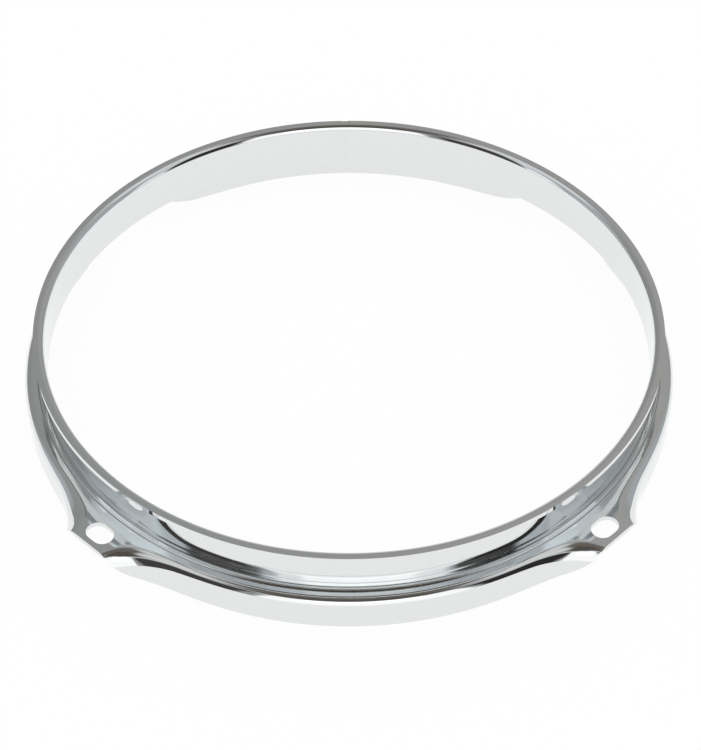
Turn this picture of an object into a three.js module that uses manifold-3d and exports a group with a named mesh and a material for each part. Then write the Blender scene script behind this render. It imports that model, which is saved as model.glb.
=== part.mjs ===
// Triple-flanged steel drum hoop for a drum of 203 mm (8 in) with four tension rods.
// One strip is rolled to a ring, pressed to its section and butt-welded at the back.
// From the top, the strip runs in over the lip, down the wall, out along the ledge and
// down the skirt. At each ear the skirt is pressed out flat, in line with the ledge, and
// the flat carries an obround hole for a tension rod.
// Millimetres, +Z up, origin on the hoop's axis at the bottom edge of the skirt.
// The ears stand at 45, 135, 225 and 315 degrees, and -Y is the player's front.

import * as THREE from 'three';
import { mergeVertices } from 'three/addons/utils/BufferGeometryUtils.js';
import Module from 'manifold-3d';

// Driving dimensions; the lip's and the ledge's widths count from the wall's inner face
const SHEET = 1.8;
const HOOP_HEIGHT = 28;
const WALL_INNER_RADIUS = 105.5;
const LIP_WIDTH = 3.9;
const LIP_INSIDE_BEND = 0.4;
const LEDGE_HEIGHT = 11.6;
const LEDGE_WIDTH = 8.3;
const FOOT_INSIDE_BEND = 1.6;
const SKIRT_OUTSIDE_BEND = 2.8;

// Ears; an ear's reach counts from the skirt's outer face, the runs go from its corner along
// the strip, and the margin is the metal left between a hole and the ear's straight edge
const EAR_REACH = 9;
const EAR_EDGE_LENGTH = 12;
const EAR_RIM_LEFT = 1.4;
const FOLD_RUN = 3.8;
const TURN_RUN = 5.1;
const FLARE_RUN = 24;
const FLARE_WIDTH = 1.6;
const HOLE_MARGIN = 1.95;
const HOLE_LENGTH = 10.2;
const HOLE_WIDTH = 7.5;
const CUT_OVERRUN = 2;

// Seam
const WELD_WIDTH = 2.4;

// Counts and directions
const EAR_COUNT = 4;
const FIRST_EAR_ANGLE = Math.PI / 4;
const SEAM_ANGLE = Math.PI / 2;
const LIP_BEND_STEPS = 3;
const FOOT_BEND_STEPS = 2;
const SKIRT_BEND_STEPS = 5;
const HOLE_END_STEPS = 8;
const PLAIN_STEPS = 4;
const LEAST_STATION_ANGLE = 0.001;
const RIGHT_ANGLE = Math.PI / 2;

// How squarely the fold swings in from an ear's corner and the skirt turns down there, and how
// slowly the bend, which takes all of the strip at the corner, tightens to its plain radius
const FOLD_POWER = 1.24;
const TURN_POWER = 1.5;
const OPEN_POWER = 0.25;

// Where sections stand beside an ear, counted from its corner along the strip
const STATION_RUNS = [0, 0.4, 0.9, 1.5, 2.2, 3, 4, 5.2, 6.8, 9, 12, 16, 21, 28, 36];

// Sizes of the strip's middle surface
const HALF_SHEET = SHEET / 2;
const WALL_RADIUS = WALL_INNER_RADIUS + HALF_SHEET;
const LIP_RADIUS = WALL_INNER_RADIUS + LIP_WIDTH;
const SKIRT_RADIUS = WALL_INNER_RADIUS + LEDGE_WIDTH;
const LIP_MIDDLE_HEIGHT = HOOP_HEIGHT - HALF_SHEET;
const LEDGE_MIDDLE_HEIGHT = LEDGE_HEIGHT - HALF_SHEET;
const LIP_BEND = LIP_INSIDE_BEND + HALF_SHEET;
const FOOT_BEND = FOOT_INSIDE_BEND + HALF_SHEET;
const SKIRT_BEND = SKIRT_OUTSIDE_BEND - HALF_SHEET;
const SKIRT_BEND_START = SKIRT_RADIUS - SKIRT_OUTSIDE_BEND;
const SKIRT_LENGTH = SKIRT_BEND * RIGHT_ANGLE + LEDGE_MIDDLE_HEIGHT - SKIRT_BEND;
const EAR_EDGE_DISTANCE = SKIRT_RADIUS + EAR_REACH;
const HOLE_DISTANCE = EAR_EDGE_DISTANCE - HOLE_MARGIN - HOLE_WIDTH / 2;

// Angles round the ring, measured from the middle of the nearest ear
const EAR_PITCH = (2 * Math.PI) / EAR_COUNT;
const CORNER_ANGLE = Math.atan(EAR_EDGE_LENGTH / 2 / EAR_EDGE_DISTANCE);
const WELD_HALF_ANGLE = Math.asin(WELD_WIDTH / 2 / SKIRT_RADIUS);

// Signed angle from the middle of the nearest ear
function angleFromEar(azimuth) {
  const turns = (azimuth - FIRST_EAR_ANGLE) / EAR_PITCH;
  return (turns - Math.round(turns)) * EAR_PITCH;
}

// Way along the strip from the ear's corner, at the radius of the holes
function runFromCorner(offset) {
  return Math.max(0, Math.abs(offset) - CORNER_ANGLE) * HOLE_DISTANCE;
}

// Share of the skirt's turn that is still to come: 1 on the ear, 0 between the ears
function turnLeft(offset) {
  return Math.exp(-Math.pow(runFromCorner(offset) / TURN_RUN, TURN_POWER));
}

// How far the shape is still the ear's: 1 on the ear, 0 from the flare's end on
function earShare(offset) {
  return (1 + Math.cos(Math.PI * Math.min(1, runFromCorner(offset) / FLARE_RUN))) / 2;
}

// Length of strip beyond the plain ledge, to the ear's straight edge or the skirt's foot
function skirtLength(offset) {
  const across = Math.min(Math.abs(offset), CORNER_ANGLE);
  const earLength = EAR_EDGE_DISTANCE / Math.cos(across) - SKIRT_BEND_START;
  return SKIRT_LENGTH + (earLength - SKIRT_LENGTH) * earShare(offset);
}

// Flat that the ear adds to the plain ledge: nearly all of the ear, then what the flare leaves
function addedFlat(offset, length) {
  const flare = FLARE_WIDTH * earShare(offset);
  const swing = Math.exp(-Math.pow(runFromCorner(offset) / FOLD_RUN, FOLD_POWER));
  return flare + (length - EAR_RIM_LEFT - flare) * swing;
}

function bendPoints(centre, radius, startAngle, endAngle, steps) {
  const points = [];
  for (let i = 0; i <= steps; i++) {
    const angle = startAngle + ((endAngle - startAngle) * i) / steps;
    const normal = new THREE.Vector2(Math.cos(angle), Math.sin(angle));
    points.push({ point: centre.clone().addScaledVector(normal, radius), normal });
  }
  return points;
}

// Middle line of the section at one place round the ring: x is the radius and y the height
function middleLine(offset) {
  const lipCentre = new THREE.Vector2(WALL_RADIUS + LIP_BEND, LIP_MIDDLE_HEIGHT - LIP_BEND);
  const footCentre = new THREE.Vector2(WALL_RADIUS + FOOT_BEND, LEDGE_MIDDLE_HEIGHT + FOOT_BEND);
  const lipEdge = new THREE.Vector2(LIP_RADIUS, LIP_MIDDLE_HEIGHT);
  const line = [{ point: lipEdge, normal: new THREE.Vector2(0, 1) }];
  line.push(...bendPoints(lipCentre, LIP_BEND, RIGHT_ANGLE, 2 * RIGHT_ANGLE, LIP_BEND_STEPS));
  line.push(...bendPoints(footCentre, FOOT_BEND, 2 * RIGHT_ANGLE, 3 * RIGHT_ANGLE, FOOT_BEND_STEPS));

  const turn = RIGHT_ANGLE * (1 - turnLeft(offset));
  const length = skirtLength(offset);
  const flat = addedFlat(offset, length);
  const left = length - flat;
  const arc = Math.min(left, SKIRT_BEND * turn + left * Math.pow(turnLeft(offset), OPEN_POWER));
  const straight = left - arc;
  const start = new THREE.Vector2(SKIRT_BEND_START + flat, LEDGE_MIDDLE_HEIGHT);
  let end = start;
  for (let i = 0; i <= SKIRT_BEND_STEPS; i++) {
    const share = i / SKIRT_BEND_STEPS;
    const angle = turn * share;
    const along = turn > 0 ? (arc * Math.sin(angle)) / turn : arc * share;
    const down = turn > 0 ? (arc * (1 - Math.cos(angle))) / turn : 0;
    end = new THREE.Vector2(start.x + along, start.y - down);
    line.push({ point: end, normal: new THREE.Vector2(-Math.sin(angle), -Math.cos(angle)) });
  }
  const foot = new THREE.Vector2(end.x + straight * Math.cos(turn), end.y - straight * Math.sin(turn));
  line.push({ point: foot, normal: new THREE.Vector2(-Math.sin(turn), -Math.cos(turn)) });
  return line;
}

// Closed outline of the sheet: out along one side of the middle line and back along the other
function sectionOutline(offset) {
  const line = middleLine(offset);
  const inner = line.map(({ point, normal }) => point.clone().addScaledVector(normal, HALF_SHEET));
  const outer = line.map(({ point, normal }) => point.clone().addScaledVector(normal, -HALF_SHEET));
  return inner.concat(outer.reverse());
}

// Solid of the section carried round the ring through a list of azimuths, with flat ends
function sweepStrip(azimuths) {
  const outlines = azimuths.map((azimuth) => sectionOutline(angleFromEar(azimuth)));
  const count = outlines[0].length;
  const positions = [];
  outlines.forEach((outline, i) => {
    outline.forEach(({ x, y }) => positions.push(x * Math.cos(azimuths[i]), x * Math.sin(azimuths[i]), y));
  });
  const indices = [];
  for (let i = 0; i + 1 < azimuths.length; i++) {
    for (let j = 0; j < count; j++) {
      const a = i * count + j;
      const b = i * count + ((j + 1) % count);
      indices.push(a, b + count, b, a, a + count, b + count);
    }
  }
  const last = (azimuths.length - 1) * count;
  THREE.ShapeUtils.triangulateShape(outlines[0], []).forEach(([a, b, c]) => indices.push(a, b, c));
  THREE.ShapeUtils.triangulateShape(outlines[azimuths.length - 1], []).forEach(([a, b, c]) => {
    indices.push(last + a, last + c, last + b);
  });
  const geometry = new THREE.BufferGeometry();
  geometry.setAttribute('position', new THREE.Float32BufferAttribute(positions, 3));
  geometry.setIndex(indices);
  return geometry;
}

// Angles from the middle of an ear to halfway to the next one, close together where the shape turns
function halfPitchAngles() {
  const angles = [0];
  STATION_RUNS.forEach((run) => angles.push(CORNER_ANGLE + run / HOLE_DISTANCE));
  const plainStart = angles[angles.length - 1];
  for (let i = 1; i <= PLAIN_STEPS; i++) {
    angles.push(plainStart + ((EAR_PITCH / 2 - plainStart) * i) / PLAIN_STEPS);
  }
  return angles;
}

// Azimuths of the whole turn from one side of the weld round to the other
function stripAzimuths() {
  const start = SEAM_ANGLE + WELD_HALF_ANGLE;
  const end = SEAM_ANGLE + 2 * Math.PI - WELD_HALF_ANGLE;
  const margin = WELD_HALF_ANGLE;
  const azimuths = [];
  for (let ear = 0; ear <= EAR_COUNT + 1; ear++) {
    const middle = FIRST_EAR_ANGLE + ear * EAR_PITCH;
    halfPitchAngles().forEach((angle) => azimuths.push(middle - angle, middle + angle));
  }
  const between = azimuths.filter((azimuth) => azimuth > start + margin && azimuth < end - margin);
  between.sort((a, b) => a - b);
  const apart = between.filter((azimuth, i) => i === 0 || azimuth - between[i - 1] > LEAST_STATION_ANGLE);
  return [start, ...apart, end];
}

// Obround punch for one ear's hole, its long side across the radius
function holePunch(azimuth) {
  const half = HOLE_LENGTH / 2 - HOLE_WIDTH / 2;
  const outline = new THREE.Shape();
  outline.absarc(0, half, HOLE_WIDTH / 2, 0, Math.PI, false);
  outline.absarc(0, -half, HOLE_WIDTH / 2, Math.PI, 2 * Math.PI, false);
  const settings = { depth: SHEET + 2 * CUT_OVERRUN, bevelEnabled: false, curveSegments: HOLE_END_STEPS };
  const geometry = new THREE.ExtrudeGeometry(outline, settings);
  geometry.translate(HOLE_DISTANCE, 0, LEDGE_HEIGHT - SHEET - CUT_OVERRUN);
  geometry.rotateZ(azimuth);
  return geometry;
}

const wasm = await Module();
wasm.setup();

function toSolid(geometry) {
  const plain = geometry.clone();
  plain.deleteAttribute('normal');
  plain.deleteAttribute('uv');
  const merged = mergeVertices(plain);
  const vertProperties = Float32Array.from(merged.attributes.position.array);
  const triVerts = Uint32Array.from(merged.index.array);
  return new wasm.Manifold(new wasm.Mesh({ numProp: 3, vertProperties, triVerts }));
}

function toGeometry(solid) {
  const mesh = solid.getMesh();
  const geometry = new THREE.BufferGeometry();
  geometry.setAttribute('position', new THREE.Float32BufferAttribute(mesh.vertProperties, 3));
  geometry.setIndex(Array.from(mesh.triVerts));
  geometry.computeVertexNormals();
  return geometry;
}

function makeHoopStrip() {
  let solid = toSolid(sweepStrip(stripAzimuths()));
  for (let ear = 0; ear < EAR_COUNT; ear++) {
    solid = solid.subtract(toSolid(holePunch(FIRST_EAR_ANGLE + ear * EAR_PITCH)));
  }
  return toGeometry(solid);
}

function makeSeamWeld() {
  const geometry = sweepStrip([SEAM_ANGLE - WELD_HALF_ANGLE, SEAM_ANGLE, SEAM_ANGLE + WELD_HALF_ANGLE]);
  geometry.computeVertexNormals();
  return geometry;
}

function namedMesh(name, geometry, material) {
  const mesh = new THREE.Mesh(geometry, material);
  mesh.name = name;
  return mesh;
}

const chromedSteel = new THREE.MeshStandardMaterial({ color: 0xd9dcdf, roughness: 0.06, metalness: 1 });
const dressedWeld = new THREE.MeshStandardMaterial({ color: 0xd2d5d8, roughness: 0.12, metalness: 1 });

const hoop = new THREE.Group();
hoop.add(namedMesh('hoop_strip', makeHoopStrip(), chromedSteel));
hoop.add(namedMesh('seam_weld', makeSeamWeld(), dressedWeld));

export default hoop;
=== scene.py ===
"""A triple-flanged drum hoop of pressed, chromed steel, dressed around its CAD frame.

The strip's middle surface is spun from a bevelled wire, its skirt is pressed out flat at the ears,
the holes are punched, and the sheet gets its thickness and rounded edges from modifiers.
"""

import math

import bmesh
import bpy
from bpy.props import FloatProperty, FloatVectorProperty, IntProperty, PointerProperty
from mathutils import Matrix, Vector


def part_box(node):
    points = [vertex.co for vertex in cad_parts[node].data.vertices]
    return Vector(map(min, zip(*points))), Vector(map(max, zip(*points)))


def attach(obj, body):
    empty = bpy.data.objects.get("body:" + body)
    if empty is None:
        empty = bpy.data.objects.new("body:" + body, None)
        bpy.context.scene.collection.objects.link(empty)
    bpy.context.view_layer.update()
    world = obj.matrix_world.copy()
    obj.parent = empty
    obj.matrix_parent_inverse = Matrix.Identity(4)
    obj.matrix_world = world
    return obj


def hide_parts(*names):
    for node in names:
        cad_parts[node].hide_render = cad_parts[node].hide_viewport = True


bl_info = {
    "name": "Drum Hoop",
    "version": (1, 0, 0),
    "blender": (4, 5, 0),
    "location": "3D View > Sidebar > Drum Hoop",
    "description": "Builds a pressed and chromed triple-flanged drum hoop with its studio stage",
    "category": "Add Mesh",
}

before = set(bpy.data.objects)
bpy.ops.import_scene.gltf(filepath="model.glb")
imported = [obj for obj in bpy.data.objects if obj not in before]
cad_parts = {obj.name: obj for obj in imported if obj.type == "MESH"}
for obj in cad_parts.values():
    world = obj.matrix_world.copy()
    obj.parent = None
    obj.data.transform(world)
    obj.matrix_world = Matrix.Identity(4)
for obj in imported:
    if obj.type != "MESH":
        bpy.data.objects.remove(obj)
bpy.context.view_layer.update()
STRIP_LOW, STRIP_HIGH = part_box("hoop_strip")

MM = 0.001
RIGHT_ANGLE = math.radians(90)
FULL_TURN = math.radians(360)

# Azimuths of the ears and of the seam, counted from +X towards +Y
EAR_COUNT = 4
EAR_PITCH = FULL_TURN / EAR_COUNT
FIRST_EAR_ANGLE = math.radians(45)
SEAM_ANGLE = math.radians(90)

# How squarely the fold swings in from an ear's corner and the skirt turns down there, and how
# slowly the bend, which takes all of the strip at the corner, tightens to its plain radius
FOLD_POWER = 1.24
TURN_POWER = 1.5
OPEN_POWER = 0.25

# How steeply the ring at the wall's foot falls to the ledge
RING_SLOPE = math.radians(38)

# Stretches of the section that the ears press out of shape, from the ring outwards
FLAT, BEND, SKIRT = range(3)

# Steps of the section's rounded corners and cuts across its straight sides
LIP_STEPS = 6
FOOT_STEPS = 8
RING_STEPS = 4
BEND_STEPS = 12
LIP_CUTS = 1
WALL_CUTS = 4
LEDGE_CUTS = 9
SKIRT_CUTS = 3

# Steps of the weld round the hoop and of the rounding of the sheared edges
WELD_STEPS = 6
EDGE_STEPS = 3

# Shares of the steps of the spin, counted from an ear, and shares of the half pitch they reach
STEP_SHARES = (0, 0.067, 0.45, 0.8, 1)
PLACE_SHARES = (0, 0.0648, 0.2, 0.53, 1)

# Sheet beside a hole that is opened with it and then closed up to the hole's rim
HOLE_PATCH = 1.1 * MM

# Gap over which points are merged, and share of the weld's half angle by which a point at the seam
# may miss it
MERGE = 0.001 * MM
SEAM_TOLERANCE_SHARE = 0.001

# Digits after the point that the sidebar shows of a length
LENGTH_DIGITS = 5


def to_linear(hex_colour):
    """Linear RGB of an sRGB hex colour."""
    channels = [int(hex_colour[i : i + 2], 16) / 255 for i in (0, 2, 4)]
    return tuple(c / 12.92 if c <= 0.04045 else ((c + 0.055) / 1.055) ** 2.4 for c in channels)


def length(name, description, default):
    """Property of a length in metres."""
    return FloatProperty(
        name=name,
        description=description,
        default=default,
        min=0,
        unit="LENGTH",
        precision=LENGTH_DIGITS,
    )


def tint(name, description, hex_colour):
    """Property of a colour, whose default is written in sRGB."""
    return FloatVectorProperty(
        name=name,
        description=description,
        default=to_linear(hex_colour),
        min=0,
        max=1,
        subtype="COLOR",
    )


def factor(name, description, default):
    """Property of a value from 0 to 1."""
    return FloatProperty(
        name=name, description=description, default=default, min=0, max=1, subtype="FACTOR"
    )


class HoopSizes(bpy.types.PropertyGroup):
    """Sizes of the pressed strip. Widths count outwards from the wall's inner face."""

    height: length("Height", "Foot of the skirt to the top of the lip", STRIP_HIGH.z - STRIP_LOW.z)
    skirt_radius: length("Skirt radius", "Axis to the skirt's outer face", STRIP_HIGH.x)
    sheet: length("Sheet", "Thickness of the steel", 1.8 * MM)
    lip_width: length("Lip width", "Wall's inner face to the lip's edge", 3.9 * MM)
    lip_bend: length("Lip bend", "Inside radius between lip and wall", 0.4 * MM)
    ledge_height: length("Ledge height", "Foot of the skirt to the top of the ledge and ears", 11.6 * MM)
    ledge_width: length("Ledge width", "Wall's inner face to the skirt's outer face", 8.3 * MM)
    ledge_fall: length("Ledge fall", "How far the ledge falls outwards", 0.02 * MM)
    foot_bend: length("Foot bend", "Inside radius of the bends at the wall's foot", 0.3 * MM)
    ring_width: length("Ring width", "Wall's inner face to the edge of the ring at its foot", 2.9 * MM)
    ring_rise: length("Ring rise", "Height of the ring at the wall's foot above the ledge", 0.45 * MM)
    ring_bend: length("Ring bend", "Radius of the strip's middle surface at the ring's edge", 0.1 * MM)
    skirt_bend: length("Skirt bend", "Outside radius between ledge and skirt", 2.8 * MM)
    ear_reach: length("Ear reach", "Skirt's outer face to the ear's straight edge", 9 * MM)
    ear_edge: length("Ear edge", "Length of the ear's straight edge", 12 * MM)
    ear_rim: length("Ear rim", "Strip left past the fold at the ear's corner", 1.4 * MM)
    fold_run: length("Fold run", "Way from the ear's corner over which its fold swings in", 3.8 * MM)
    turn_run: length("Turn run", "Way from the ear's corner over which the skirt turns down", 5.1 * MM)
    flare_width: length("Flare width", "How far the ledge widens towards an ear", 1.6 * MM)
    flare_run: length("Flare run", "Way from the ear's corner to the plain ledge", 24 * MM)
    hole_margin: length("Hole margin", "Metal between a hole and the ear's edge", 1.95 * MM)
    hole_length: length("Hole length", "Long side of a hole, across the radius", 10.2 * MM)
    hole_width: length("Hole width", "Short side of a hole, along the radius", 7.5 * MM)
    weld_width: length("Weld width", "Width of the butt weld", 2.4 * MM)
    edge_round: length("Edge round", "Rounding of the sheared edges", 0.28 * MM)
    steps: IntProperty(name="Steps", description="Steps of the spin round the hoop", default=720, min=90)


class HoopFinish(bpy.types.PropertyGroup):
    """Colours and gloss of the plating."""

    chrome: tint("Chrome", "Colour of the chrome plate", "E5E7E7")
    weld: tint("Weld", "Colour of the plate on the ground weld", "E4E6E6")
    gloss: factor("Gloss", "Roughness of the polished plate", 0.03)
    weld_gloss: factor("Weld gloss", "Roughness of the plate on the ground weld", 0.04)


class StripLaw:
    """The sizes worked out from HoopSizes, and where a point of the strip lies once it is pressed.

    Radii and heights are those of the strip's middle surface.
    """

    def __init__(self, sizes):
        half = sizes.sheet / 2
        inner = sizes.skirt_radius - sizes.ledge_width
        self.sizes = sizes
        self.wall = inner + half
        self.lip_edge = inner + sizes.lip_width
        self.lip_height = sizes.height - half
        self.ledge = sizes.ledge_height - half
        self.skirt = sizes.skirt_radius - half
        self.lip_radius = sizes.lip_bend + half
        self.foot_radius = sizes.foot_bend + half
        self.bend_radius = sizes.skirt_bend - half
        self.ring = self.ledge + sizes.ring_rise
        self.ring_edge = inner + sizes.ring_width
        self.ring_foot = self.ring_edge + sizes.ring_rise / math.tan(RING_SLOPE)
        self.ledge_start = self.ring_foot + self.foot_radius * math.tan(RING_SLOPE / 2)
        self.bend_start = sizes.skirt_radius - sizes.skirt_bend
        self.bend_end = self.ledge - self.bend_radius
        self.length = self.bend_radius * RIGHT_ANGLE + self.bend_end
        self.ear_distance = sizes.skirt_radius + sizes.ear_reach
        self.hole_distance = self.ear_distance - sizes.hole_margin - sizes.hole_width / 2
        self.corner_angle = math.atan(sizes.ear_edge / 2 / self.ear_distance)
        self.weld_angle = math.asin(sizes.weld_width / 2 / sizes.skirt_radius)

    def stretch(self, radius, height):
        """Stretch of the plain section that a point lies on, and the share of it that lies inside."""
        if radius <= self.ledge_start or height > self.ring:
            return None
        if radius <= self.bend_start:
            return FLAT, (radius - self.ledge_start) / (self.bend_start - self.ledge_start)
        if height < self.bend_end:
            return SKIRT, 1 - height / self.bend_end
        angle = math.atan2(radius - self.bend_start, height - self.bend_end)
        return BEND, angle / RIGHT_ANGLE

    def fold(self, offset):
        """At an angle from the ear: flat added to the plain ledge, turn and arc of the bend, and straight."""
        run = max(0, abs(offset) - self.corner_angle) * self.hole_distance
        turn_left = math.exp(-((run / self.sizes.turn_run) ** TURN_POWER))
        turn = RIGHT_ANGLE * (1 - turn_left)
        ear = self.ear_distance / math.cos(min(abs(offset), self.corner_angle)) - self.bend_start
        ear_share = (1 + math.cos(math.pi * min(1, run / self.sizes.flare_run))) / 2
        total = self.length + (ear - self.length) * ear_share
        flare = self.sizes.flare_width * ear_share
        swing = math.exp(-((run / self.sizes.fold_run) ** FOLD_POWER))
        flat = flare + (total - self.sizes.ear_rim - flare) * swing
        left = total - flat
        arc = min(left, self.bend_radius * turn + left * turn_left**OPEN_POWER)
        return flat, turn, arc, left - arc

    def pressed(self, offset, stretch, share):
        """Radius and height of a point of the strip at an angle from the ear."""
        flat, turn, arc, straight = self.fold(offset)
        if stretch == FLAT:
            radius = self.ledge_start + share * (self.bend_start + flat - self.ledge_start)
            return radius, self.ledge + self.sizes.ledge_fall * (1 - share)
        bent = turn * (share if stretch == BEND else 1)
        sweep = arc * (share if stretch == BEND else 1)
        straight *= share if stretch == SKIRT else 0
        if turn:
            across = sweep * math.sin(bent) / bent if bent else 0
            down = sweep * (1 - math.cos(bent)) / bent if bent else 0
        else:
            across = sweep
            down = 0
        radius = self.bend_start + flat + across + straight * math.cos(turn)
        return radius, self.ledge - down - straight * math.sin(turn)


def section_wire(mesh, law):
    """Middle line of the plain section in the XZ plane, with its corners rounded."""
    places = [
        (law.lip_edge, law.lip_height),
        (law.wall, law.lip_height),
        (law.wall, law.ring),
        (law.ring_edge, law.ring),
        (law.ring_foot, law.ledge + law.sizes.ledge_fall),
        (law.skirt, law.ledge),
        (law.skirt, 0),
    ]
    corners = [mesh.verts.new((radius, 0, height)) for radius, height in places]
    for pair in zip(corners, corners[1:]):
        mesh.edges.new(pair)
    half_slope = math.tan(RING_SLOPE / 2)
    rounds = (
        (law.lip_radius, LIP_STEPS),
        (law.foot_radius, FOOT_STEPS),
        (law.sizes.ring_bend * half_slope, RING_STEPS),
        (law.foot_radius * half_slope, RING_STEPS),
        (law.bend_radius, BEND_STEPS),
    )
    for corner, (radius, steps) in zip(corners[1:-1], rounds):
        bmesh.ops.bevel(
            mesh,
            geom=[corner],
            offset=radius,
            offset_type="OFFSET",
            segments=steps,
            profile=0.5,
            affect="VERTICES",
            material=-1,
        )
    # The longest edges are the straight sides, cut in their order from the axis outwards
    cuts_outwards = (WALL_CUTS, LIP_CUTS, LEDGE_CUTS, SKIRT_CUTS)
    sides = sorted(mesh.edges, key=lambda edge: edge.calc_length())[-len(cuts_outwards) :]
    sides.sort(key=lambda edge: edge.verts[0].co.x + edge.verts[1].co.x)
    for side, cuts in zip(sides, cuts_outwards):
        bmesh.ops.subdivide_edges(mesh, edges=[side], cuts=cuts)


def spin_wire(mesh, start, sweep, steps):
    """Spins the section about the hoop's axis, from one azimuth over an angle."""
    bmesh.ops.rotate(mesh, verts=mesh.verts, matrix=Matrix.Rotation(start, 3, "Z"))
    bmesh.ops.spin(
        mesh,
        geom=mesh.verts[:] + mesh.edges[:],
        cent=(0, 0, 0),
        axis=(0, 0, 1),
        angle=sweep,
        steps=steps,
        use_merge=False,
    )


def angle_from_ear(azimuth):
    """Angle of an azimuth from the nearest ear's middle."""
    turns = (azimuth - FIRST_EAR_ANGLE) / EAR_PITCH
    return (turns - round(turns)) * EAR_PITCH


def crowded(azimuth):
    """Azimuth of a step of the spin, drawn towards the nearest ear, where the shape turns quickly."""
    offset = angle_from_ear(azimuth)
    step_share = abs(offset) / (EAR_PITCH / 2)
    for low, high, start, end in zip(STEP_SHARES, STEP_SHARES[1:], PLACE_SHARES, PLACE_SHARES[1:]):
        if step_share <= high:
            break
    place_share = start + (end - start) * (step_share - low) / (high - low)
    return azimuth - offset + math.copysign(place_share, offset) * EAR_PITCH / 2


def half_hoop(law):
    """Middle surface of the left half of the hoop, from the weld's side round to the front."""
    mesh = bmesh.new()
    section_wire(mesh, law)
    spin_wire(mesh, SEAM_ANGLE, FULL_TURN / 2, law.sizes.steps // 2)
    weld_side = SEAM_ANGLE + law.weld_angle
    for vert in mesh.verts:
        radius = math.hypot(vert.co.x, vert.co.y)
        azimuth = max(crowded(math.atan2(vert.co.y, vert.co.x) % FULL_TURN), weld_side)
        height = vert.co.z
        stretch_and_share = law.stretch(radius, height)
        if stretch_and_share is not None:
            radius, height = law.pressed(angle_from_ear(azimuth), *stretch_and_share)
        vert.co = (radius * math.cos(azimuth), radius * math.sin(azimuth), height)
    return mesh


def punch_hole(mesh, law, azimuth):
    """Opens an obround hole in the flat of one ear and joins its rim to the sheet around it."""
    to_ear = Matrix.Rotation(-azimuth, 4, "Z")
    half_length = law.sizes.hole_length / 2
    half_width = law.sizes.hole_width / 2
    inside = []
    for face in mesh.faces:
        middle = to_ear @ face.calc_center_median()
        sideways = abs(middle.y)
        outwards = abs(middle.x - law.hole_distance)
        if sideways < half_length + HOLE_PATCH and outwards < half_width + HOLE_PATCH:
            inside.append(face)
    border = []
    for edge in {edge for face in inside for edge in face.edges}:
        if not all(face in inside for face in edge.link_faces):
            border.append(edge)
    bmesh.ops.delete(mesh, geom=inside, context="FACES")
    rim = bmesh.ops.create_circle(mesh, segments=len(border), radius=half_width)["verts"]
    for vert in rim:
        vert.co.y += math.copysign(half_length - half_width, vert.co.y)
    to_hole = Matrix.Rotation(azimuth, 4, "Z") @ Matrix.Translation((law.hole_distance, 0, law.ledge))
    bmesh.ops.transform(mesh, matrix=to_hole, verts=rim)
    rim_edges = list({edge for vert in rim for edge in vert.link_edges})
    bmesh.ops.bridge_loops(mesh, edges=border + rim_edges)


def at_seam(vert, law):
    """Whether a point lies where the strip and the weld meet."""
    offset = abs(math.atan2(vert.co.y, vert.co.x) - SEAM_ANGLE)
    return math.isclose(offset, law.weld_angle, rel_tol=SEAM_TOLERANCE_SHARE)


def finish_sheet(mesh, name, law):
    """Object of a middle surface that gets its thickness, a crisp end at the seam and rounded edges."""
    weights = mesh.edges.layers.float.new("bevel_weight_edge")
    for edge in mesh.edges:
        if edge.is_boundary and all(at_seam(vert, law) for vert in edge.verts):
            edge.smooth = False
        elif edge.is_boundary:
            edge[weights] = 1
    for face in mesh.faces:
        face.smooth = True
    data = bpy.data.meshes.new(name)
    mesh.to_mesh(data)
    mesh.free()
    piece = bpy.data.objects.new(name, data)
    bpy.context.scene.collection.objects.link(piece)
    sheet = piece.modifiers.new("Sheet", "SOLIDIFY")
    sheet.thickness = law.sizes.sheet
    sheet.offset = 0
    sheet.use_even_offset = True
    rounding = piece.modifiers.new("Sheared edges", "BEVEL")
    rounding.width = law.sizes.edge_round
    rounding.segments = EDGE_STEPS
    rounding.limit_method = "WEIGHT"
    shading = piece.modifiers.new("Flats kept flat", "WEIGHTED_NORMAL")
    shading.keep_sharp = True
    return piece


class MESH_OT_drum_hoop_strip(bpy.types.Operator):
    """Adds the rolled, pressed and punched strip"""

    bl_idname = "mesh.drum_hoop_strip"
    bl_label = "Pressed Strip"

    def execute(self, context):
        law = StripLaw(context.scene.drum_hoop_sizes)
        mesh = half_hoop(law)
        # The ears of the left half, which the mirror then repeats
        for ear in range(EAR_COUNT // 2):
            punch_hole(mesh, law, FIRST_EAR_ANGLE + (ear + 1) * EAR_PITCH)
        everything = mesh.verts[:] + mesh.edges[:] + mesh.faces[:]
        bmesh.ops.mirror(mesh, geom=everything, matrix=Matrix.Identity(4), merge_dist=MERGE, axis="X")
        bmesh.ops.remove_doubles(mesh, verts=mesh.verts, dist=MERGE)
        bmesh.ops.recalc_face_normals(mesh, faces=mesh.faces)
        piece = finish_sheet(mesh, "pressed_strip", law)
        # Electroplated over buffed steel: the eye sees the room in it rather than the metal
        finish = context.scene.drum_hoop_finish
        plate = chrome_plate("Bright chrome plate", finish.chrome, finish.gloss)
        piece.data.materials.append(plate)
        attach(piece, "root")
        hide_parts("hoop_strip")
        return {"FINISHED"}


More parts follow.
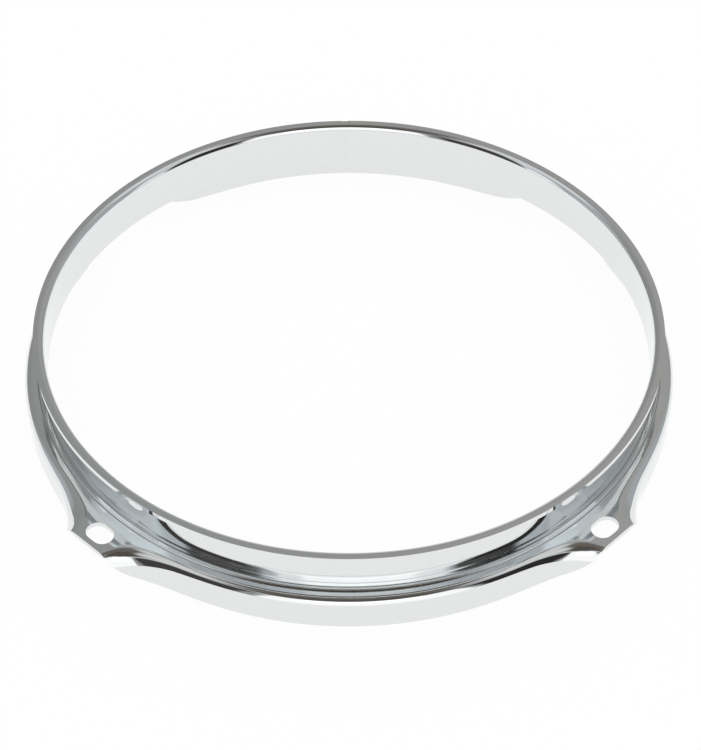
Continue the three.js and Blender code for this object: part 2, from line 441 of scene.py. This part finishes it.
class MESH_OT_drum_hoop_weld(bpy.types.Operator):
    """Adds the butt weld that closes the strip"""

    bl_idname = "mesh.drum_hoop_weld"
    bl_label = "Butt Weld"

    def execute(self, context):
        law = StripLaw(context.scene.drum_hoop_sizes)
        mesh = bmesh.new()
        section_wire(mesh, law)
        spin_wire(mesh, SEAM_ANGLE - law.weld_angle, 2 * law.weld_angle, WELD_STEPS)
        bmesh.ops.recalc_face_normals(mesh, faces=mesh.faces)
        piece = finish_sheet(mesh, "dressed_weld", law)
        # Ground flush before plating: the strip's mirror, but a trace duller and greyer
        finish = context.scene.drum_hoop_finish
        plate = chrome_plate("Chrome plate on a ground weld", finish.weld, finish.weld_gloss)
        piece.data.materials.append(plate)
        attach(piece, "root")
        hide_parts("seam_weld")
        return {"FINISHED"}


# Sockets of the Mix node that hold colours, which go by number
MIX_UNDER = 6
MIX_OVER = 7
MIX_RESULT = 2


def add_node(tree, kind, settings=None, links=None):
    """Adds one node with its settings, and links its inputs to other nodes' outputs or sets them."""
    node = tree.nodes.new(kind)
    for name, value in (settings or {}).items():
        setattr(node, name, value)
    for key, value in (links or {}).items():
        if isinstance(value, bpy.types.NodeSocket):
            tree.links.new(value, node.inputs[key])
        else:
            node.inputs[key].default_value = value
    return node


# Polish lines: their run round the hoop, their width, and their depth on the mirror and on the
# ledge, which the buffing wheel doesn't reach and which is rougher for it. Real lines are under
# 0.1 mm wide, too fine to show in the render, so they are drawn as coarse as they need to be
LINE_RUN = 30 * MM
LINE_ACROSS = 0.3 * MM
LINE_DEPTH = 0.0004 * MM
LEDGE_LINE_DEPTH = 0.0032 * MM
LEDGE_HAZE = 0.05

# Heights and radii that count as ledge and ears: the middle of each, and how far it reaches
LEDGE_HEIGHTS = (11.7 * MM, 0.65 * MM)
LEDGE_RADII = (115 * MM, 8.5 * MM)

# Slow waves of the rolled sheet, and smudges: the levels of their noise over which the haze rises,
# and the multiples of the plate's roughness from which it rises and to which
WAVE_SIZE = 14 * MM
WAVE_DEPTH = 0.0015 * MM
SMUDGE_SIZE = 5 * MM
SMUDGE_LEVELS = (0.45, 0.75)
HAZE_MULTIPLES = (0.6, 2.2)

# Creases of the wall's foot, by radius and height, where painted shade darkens the plate's colour to stand in
# for the dark reflection that shows there
CREASES = ((107.35 * MM, 12.1 * MM), (109.1 * MM, 11.75 * MM))
CREASE_WIDTH = 0.28 * MM
PAINTED_CREASE_SHADE = 0.5


def painted_crease_shade(tree, radius, height):
    """1 in the creases of the wall's foot, where the plate gets painted shade, and 0 outside them."""
    place = add_node(tree, "ShaderNodeCombineXYZ", links={"X": radius, "Y": height})
    covers = []
    for crease in CREASES:
        gap = add_node(
            tree, "ShaderNodeVectorMath", {"operation": "DISTANCE"}, {0: place.outputs[0], 1: (*crease, 0)}
        )
        ends = {"From Min": CREASE_WIDTH, "From Max": CREASE_WIDTH / 2}
        cover = add_node(tree, "ShaderNodeMapRange", links={"Value": gap.outputs["Value"], **ends})
        covers.append(cover.outputs[0])
    either = add_node(tree, "ShaderNodeMath", {"operation": "MAXIMUM"}, {0: covers[0], 1: covers[1]})
    return either.outputs[0]


def on_ledge(tree, radius, height):
    """1 on the ledge and the ears' flats, and 0 elsewhere."""
    covers = []
    for value, (middle, reach) in ((height, LEDGE_HEIGHTS), (radius, LEDGE_RADII)):
        inputs = {0: value, 1: middle, 2: reach}
        cover = add_node(tree, "ShaderNodeMath", {"operation": "COMPARE"}, inputs)
        covers.append(cover.outputs[0])
    both = add_node(tree, "ShaderNodeMath", {"operation": "MULTIPLY"}, {0: covers[0], 1: covers[1]})
    return both.outputs[0]


def polish_lines(tree, place, radius, height):
    """Fine lines that run round the hoop, as noise drawn out along its circumference."""
    outward = add_node(tree, "ShaderNodeVectorMath", {"operation": "NORMALIZE"}, {0: place})
    runs = add_node(
        tree,
        "ShaderNodeVectorMath",
        {"operation": "SCALE"},
        {0: outward.outputs[0], "Scale": STRIP_HIGH.x / LINE_RUN},
    )
    along = add_node(tree, "ShaderNodeSeparateXYZ", links={"Vector": runs.outputs[0]})
    density = 1 / LINE_ACROSS
    across = add_node(tree, "ShaderNodeMath", {"operation": "MULTIPLY"}, {0: radius, 1: density})
    upward = add_node(tree, "ShaderNodeMath", {"operation": "MULTIPLY"}, {0: height, 1: density})
    drawn_out = add_node(
        tree,
        "ShaderNodeCombineXYZ",
        links={"X": along.outputs["X"], "Y": along.outputs["Y"], "Z": across.outputs[0]},
    )
    lines = add_node(
        tree,
        "ShaderNodeTexNoise",
        {"noise_dimensions": "4D"},
        {"Vector": drawn_out.outputs[0], "W": upward.outputs[0], "Scale": 1},
    )
    return lines.outputs[0]


def chrome_plate(name, colour, roughness):
    """Chrome over polished steel: a neutral mirror with slow waves of the rolled sheet and smudges,
    with polish lines that run round the hoop, faint on the mirror and plain on the ledge, and with
    painted shade that darkens its colour in the creases of the wall's foot."""
    material = bpy.data.materials.new(name)
    material.use_nodes = True
    tree = material.node_tree
    tree.nodes.clear()
    place = add_node(tree, "ShaderNodeTexCoord").outputs["Object"]
    split = add_node(tree, "ShaderNodeSeparateXYZ", links={"Vector": place})
    height = split.outputs["Z"]
    flat = add_node(tree, "ShaderNodeCombineXYZ", links={"X": split.outputs["X"], "Y": split.outputs["Y"]})
    distance = add_node(tree, "ShaderNodeVectorMath", {"operation": "LENGTH"}, {0: flat.outputs[0]})
    radius = distance.outputs["Value"]
    ledge = on_ledge(tree, radius, height)
    waves = add_node(
        tree, "ShaderNodeTexNoise", links={"Vector": place, "Scale": 1 / WAVE_SIZE, "Detail": 0}
    )
    rolled = add_node(
        tree, "ShaderNodeBump", links={"Height": waves.outputs[0], "Strength": 1, "Distance": WAVE_DEPTH}
    )
    depth = add_node(
        tree,
        "ShaderNodeMath",
        {"operation": "MULTIPLY_ADD"},
        {0: ledge, 1: LEDGE_LINE_DEPTH - LINE_DEPTH, 2: LINE_DEPTH},
    )
    polished = add_node(
        tree,
        "ShaderNodeBump",
        links={
            "Height": polish_lines(tree, flat.outputs[0], radius, height),
            "Strength": 1,
            "Distance": depth.outputs[0],
            "Normal": rolled.outputs[0],
        },
    )
    smudges = add_node(tree, "ShaderNodeTexNoise", links={"Vector": place, "Scale": 1 / SMUDGE_SIZE})
    low, high = SMUDGE_LEVELS
    least, most = HAZE_MULTIPLES
    smudged = add_node(
        tree,
        "ShaderNodeMapRange",
        links={
            "Value": smudges.outputs[0],
            "From Min": low,
            "From Max": high,
            "To Min": roughness * least,
            "To Max": roughness * most,
        },
    )
    haze = add_node(
        tree,
        "ShaderNodeMath",
        {"operation": "MULTIPLY_ADD"},
        {0: ledge, 1: LEDGE_HAZE, 2: smudged.outputs[0]},
    )
    # Painted shade: the plate's colour is darkened in the creases of the wall's foot
    plate = add_node(
        tree,
        "ShaderNodeMix",
        {"data_type": "RGBA"},
        {
            0: painted_crease_shade(tree, radius, height),
            MIX_UNDER: (*colour, 1),
            MIX_OVER: (*(PAINTED_CREASE_SHADE * channel for channel in colour), 1),
        },
    )
    shader = add_node(
        tree,
        "ShaderNodeBsdfPrincipled",
        links={
            "Base Color": plate.outputs[MIX_RESULT],
            "Metallic": 1,
            "Roughness": haze.outputs[0],
            "Normal": polished.outputs[0],
        },
    )
    add_node(tree, "ShaderNodeOutputMaterial", links={"Surface": shader.outputs["BSDF"]})
    return material


# Grey of the light tent, and its cards, each laid over those before it: azimuth from the front
# towards +X and elevation of the middle, half width, half height and softness in degrees,
# brightness and tint
TENT_GREY = 0.33
CARDS = (
    ("behind low", 180, 0, 18, 20, 8, 0.7, "FFFFFF"),
    ("left rear", -140, 15, 25, 28, 10, 0.3, "FFFFFF"),
    ("right rear", 148, 15, 25, 28, 10, 0.37, "FFFFFF"),
    ("right rear high", 135, 50, 42, 14, 10, 0.39, "FFFCFA"),
    ("left side", -98, 20, 17, 30, 8, 0.5, "F4FAFF"),
    ("right side", 104, 20, 22, 30, 8, 0.46, "F4FAFF"),
    ("ceiling", 0, 95, 200, 25, 5, 0.15, "FFF2E6"),
    ("ceiling left", -107, 62, 45, 9, 4, 0.75, "FFFFFF"),
    ("ceiling right", 107, 62, 45, 9, 4, 0.75, "FFFFFF"),
    ("left panel", -72, 20, 8, 34, 4, 0.68, "F0F8FF"),
    ("right panel", 72, 20, 8, 34, 4, 0.65, "F0F8FF"),
    ("left panel low", -70, 5, 7, 16, 4, 1.1, "FFFFFF"),
    ("right panel low", 70, 5, 7, 16, 4, 1.0, "FFFFFF"),
    ("rim of the ceiling", 0, 50.5, 64, 5, 1.5, 0.65, "F4FAFF"),
    ("left dark", -49, 14, 15, 35.5, 2, 0.06, "FFF8F2"),
    ("right dark", 52, 14, 13, 35.5, 2, 0.03, "FFF8F2"),
    ("front ceiling", 0, 68, 50, 13.5, 1, 0.1, "FFF0E0"),
    ("front", 4, 19.2, 32, 30.3, 2, 1.2, "FFFFFF"),
    ("front high", 3, 40, 21, 10, 3, 1.55, "FFFFFF"),
    ("left softbox", -97, 50.4, 21, 2.4, 2, 1.1, "F2F9FF"),
    ("right softbox", 96, 50.4, 16, 2.4, 2, 1.1, "F2F9FF"),
)
HALF_TURN_DEGREES = 180

# Strength of the even light, the share of it that the paper shows, which is all that a shadow can
# take from it, and the paper's colour to rays that come from neither the camera nor a mirror
EVEN_LIGHT = 0.8
SHADOW_SHARE = 0.08
PAPER = "E8E8E8"
WHITE = (1, 1, 1, 1)

# Middle of the floor to its sides, in metres
FLOOR_REACH = 4

# The camera stands before the hoop's front and looks down, with a trace of roll. Its place is the
# one that it has before it is turned about the hoop's axis
CAMERA_LENS = 116.07
CAMERA_CLIP = 0.01
CAMERA_TURN = math.radians(-0.81)
CAMERA_DIP = math.radians(44.92)
CAMERA_ROLL = math.radians(-0.08)
CAMERA_PLACE = (0.00052, -0.6082, 0.6074)


def add_card(tree, under, azimuth, elevation, card):
    """Lays one soft-edged card of the tent over the colour of those under it."""
    name, card_azimuth, card_elevation, half_width, half_height, soft, level, hex_colour = card
    cover = 1
    ways = ((azimuth, card_azimuth, half_width), (elevation, card_elevation, half_height))
    for way, middle, half in ways:
        off = add_node(tree, "ShaderNodeMath", {"operation": "SUBTRACT"}, {0: way, 1: middle})
        around = {0: off.outputs[0], 1: HALF_TURN_DEGREES, 2: -HALF_TURN_DEGREES}
        off = add_node(tree, "ShaderNodeMath", {"operation": "WRAP"}, around)
        off = add_node(tree, "ShaderNodeMath", {"operation": "ABSOLUTE"}, {0: off.outputs[0]})
        inside = add_node(
            tree,
            "ShaderNodeMapRange",
            {"interpolation_type": "SMOOTHSTEP"},
            {"Value": off.outputs[0], "From Min": half + soft, "From Max": half - soft},
        )
        both = add_node(tree, "ShaderNodeMath", {"operation": "MULTIPLY"}, {0: inside.outputs[0], 1: cover})
        cover = both.outputs[0]
    colour = (*(level * channel for channel in to_linear(hex_colour)), 1)
    settings = {"data_type": "RGBA", "label": name}
    laid = add_node(tree, "ShaderNodeMix", settings, {0: cover, MIX_UNDER: under, MIX_OVER: colour})
    return laid.outputs[MIX_RESULT]


def light_tent():
    """World that is white to the camera, a tent of cards to the chrome and an even light to the rest."""
    world = bpy.data.worlds.new("Light tent")
    world.use_nodes = True
    tree = world.node_tree
    tree.nodes.clear()
    look = add_node(tree, "ShaderNodeTexCoord")
    split = add_node(tree, "ShaderNodeSeparateXYZ", links={"Vector": look.outputs["Generated"]})
    front = add_node(tree, "ShaderNodeMath", {"operation": "MULTIPLY"}, {0: split.outputs["Y"], 1: -1})
    ways = []
    for operation, sockets in (
        ("ARCTAN2", {0: split.outputs["X"], 1: front.outputs[0]}),
        ("ARCSINE", {0: split.outputs["Z"]}),
    ):
        angle = add_node(tree, "ShaderNodeMath", {"operation": operation}, sockets)
        degrees = add_node(tree, "ShaderNodeMath", {"operation": "DEGREES"}, {0: angle.outputs[0]})
        ways.append(degrees.outputs[0])
    tent = (TENT_GREY, TENT_GREY, TENT_GREY, 1)
    for card in CARDS:
        tent = add_card(tree, tent, *ways, card)
    rays = add_node(tree, "ShaderNodeLightPath")
    lights = []
    for colour in ((EVEN_LIGHT, EVEN_LIGHT, EVEN_LIGHT, 1), tent, WHITE):
        light = add_node(tree, "ShaderNodeBackground", links={"Color": colour, "Strength": 1})
        lights.append(light.outputs[0])
    even, cards, white = lights
    seen = add_node(
        tree, "ShaderNodeMixShader", links={0: rays.outputs["Is Glossy Ray"], 1: even, 2: cards}
    )
    seen = add_node(
        tree,
        "ShaderNodeMixShader",
        links={0: rays.outputs["Is Camera Ray"], 1: seen.outputs[0], 2: white},
    )
    add_node(tree, "ShaderNodeOutputWorld", links={"Surface": seen.outputs[0]})
    return world


def pale_floor():
    """Matt white paper, lit evenly, that keeps a faint shadow of the hoop."""
    material = bpy.data.materials.new("Matt white paper")
    material.use_nodes = True
    tree = material.node_tree
    tree.nodes.clear()
    paper = add_node(tree, "ShaderNodeBsdfDiffuse", links={"Color": (*to_linear(PAPER), 1)})
    grey = (SHADOW_SHARE, SHADOW_SHARE, SHADOW_SHARE, 1)
    shaded = add_node(tree, "ShaderNodeBsdfDiffuse", links={"Color": grey})
    white = add_node(tree, "ShaderNodeEmission", links={"Strength": 1 - SHADOW_SHARE * EVEN_LIGHT})
    shown = add_node(tree, "ShaderNodeAddShader", links={0: shaded.outputs[0], 1: white.outputs[0]})
    rays = add_node(tree, "ShaderNodeLightPath")
    sight = rays.outputs["Is Camera Ray"]
    for ray in ("Is Glossy Ray", "Is Transmission Ray"):
        either = add_node(tree, "ShaderNodeMath", {"operation": "MAXIMUM"}, {0: sight, 1: rays.outputs[ray]})
        sight = either.outputs[0]
    mixed = add_node(
        tree, "ShaderNodeMixShader", links={0: sight, 1: paper.outputs[0], 2: shown.outputs[0]}
    )
    add_node(tree, "ShaderNodeOutputMaterial", links={"Surface": mixed.outputs[0]})
    return material


class SCENE_OT_drum_hoop_stage(bpy.types.Operator):
    """Adds the floor, the light and the camera"""

    bl_idname = "scene.drum_hoop_stage"
    bl_label = "Studio Stage"

    def execute(self, context):
        scene = context.scene
        scene.view_settings.view_transform = "Standard"
        mesh = bmesh.new()
        bmesh.ops.create_grid(mesh, x_segments=1, y_segments=1, size=FLOOR_REACH)
        data = bpy.data.meshes.new("floor")
        mesh.to_mesh(data)
        mesh.free()
        data.materials.append(pale_floor())
        floor = bpy.data.objects.new("floor", data)
        scene.collection.objects.link(floor)
        scene.world = light_tent()
        camera = bpy.data.objects.new("camera", bpy.data.cameras.new("camera"))
        camera.data.lens = CAMERA_LENS
        camera.data.clip_start = CAMERA_CLIP
        aim = Matrix.Rotation(CAMERA_TURN, 4, "Z") @ Matrix.Translation(CAMERA_PLACE)
        aim = aim @ Matrix.Rotation(RIGHT_ANGLE - CAMERA_DIP, 4, "X") @ Matrix.Rotation(CAMERA_ROLL, 4, "Z")
        camera.matrix_world = aim
        scene.collection.objects.link(camera)
        scene.camera = camera
        return {"FINISHED"}


class VIEW3D_PT_drum_hoop(bpy.types.Panel):
    """Lists the operators, the sizes and the colours"""

    bl_label = "Drum Hoop"
    bl_idname = "VIEW3D_PT_drum_hoop"
    bl_space_type = "VIEW_3D"
    bl_region_type = "UI"
    bl_category = "Drum Hoop"

    def draw(self, context):
        for operator in OPERATORS:
            self.layout.operator(operator.bl_idname)
        for values in (context.scene.drum_hoop_sizes, context.scene.drum_hoop_finish):
            for name in values.__annotations__:
                self.layout.prop(values, name)


OPERATORS = (MESH_OT_drum_hoop_strip, MESH_OT_drum_hoop_weld, SCENE_OT_drum_hoop_stage)
CLASSES = (HoopSizes, HoopFinish, *OPERATORS, VIEW3D_PT_drum_hoop)


def register():
    for item in CLASSES:
        bpy.utils.register_class(item)
    bpy.types.Scene.drum_hoop_sizes = PointerProperty(type=HoopSizes)
    bpy.types.Scene.drum_hoop_finish = PointerProperty(type=HoopFinish)


def unregister():
    del bpy.types.Scene.drum_hoop_finish
    del bpy.types.Scene.drum_hoop_sizes
    for item in reversed(CLASSES):
        bpy.utils.unregister_class(item)


def main():
    """Builds the stage and the hoop."""
    register()
    bpy.ops.scene.drum_hoop_stage()
    bpy.ops.mesh.drum_hoop_strip()
    bpy.ops.mesh.drum_hoop_weld()


if __name__ == "__main__":
    main()
